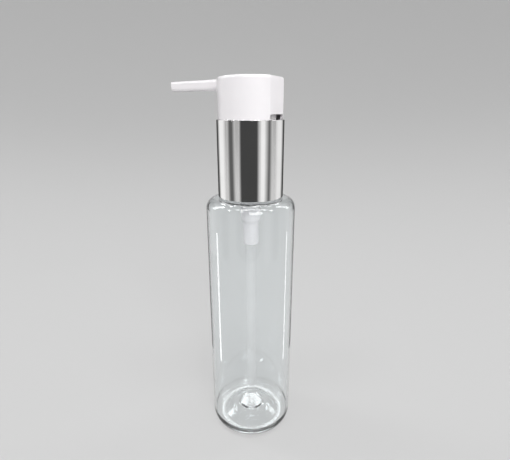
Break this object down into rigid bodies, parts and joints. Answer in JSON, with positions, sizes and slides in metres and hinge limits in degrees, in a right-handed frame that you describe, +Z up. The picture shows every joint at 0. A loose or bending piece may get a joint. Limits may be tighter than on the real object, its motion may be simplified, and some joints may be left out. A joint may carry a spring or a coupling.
{
  "type": "soap pump dispenser",
  "caption": "Slim clear cylinder bottle with a mirror-bright metal collar and a white press head with a long thin spout; pressing the head pumps liquid soap.",
  "frame": {"origin": "on the bottle's axis, in the plane that the bottle stands on", "axes": "+Z up along the bottle's axis; the spout points along -X, the head's flat back faces +X"},
  "size_m": [0.0578, 0.038, 0.1606],
  "materials": {
    "clear_pet": "clear polished plastic",
    "bright_metal": "mirror-bright anodised",
    "white_plastic": "gloss moulded",
    "natural_plastic": "milky moulded",
    "soft_seal": "soft satin",
    "spring_steel": "drawn wire",
    "ball_steel": "polished",
    "clear_tube": "clear thin-walled"
  },
  "bodies": {
    "bottle": {"bottle": "clear_pet"},
    "pump": {"pump_housing": "natural_plastic", "neck_gasket": "soft_seal", "chaplet": "natural_plastic", "return_spring": "spring_steel", "ball_cage": "natural_plastic", "dip_tube": "clear_tube"},
    "closure": {"screw_closure": "white_plastic", "collar_sleeve": "bright_metal"},
    "plunger": {"piston_seat": "natural_plastic"},
    "piston": {"piston": "soft_seal"},
    "head": {"actuator_head": "white_plastic", "stem": "natural_plastic"},
    "ball": {"check_ball": "ball_steel"}
  },
  "joints": [
    {"name": "pump_lift", "type": "slide", "parent": "bottle", "child": "pump", "axis": [0, 0, 1], "range_m": [0, 0.00476]},
    {"name": "closure_unscrew", "type": "hinge", "parent": "pump", "child": "closure", "pos_m": [0, 0, 0.13], "axis": [0, 0, 1], "range_deg": [0, 540]},
    {"name": "head_press", "type": "slide", "parent": "pump", "child": "plunger", "axis": [0, 0, -1], "range_m": [0, 0.005], "stiffness_N_per_m": 1200, "springref_m": -0.004, "deforming": ["return_spring"]},
    {"name": "head_swivel", "type": "hinge", "parent": "plunger", "child": "head", "pos_m": [0, 0, 0.15], "axis": [0, 0, 1], "continuous": true},
    {"name": "piston_float", "type": "slide", "parent": "plunger", "child": "piston", "axis": [0, 0, 1], "range_m": [0, 0.00095]},
    {"name": "ball_lift", "type": "slide", "parent": "pump", "child": "ball", "axis": [0, 0, 1], "range_m": [0, 0.00095]}
  ],
  "couplings": [
    {"joint": "closure_unscrew", "follows": "pump_lift", "rad_per_m": 1979}
  ]
}
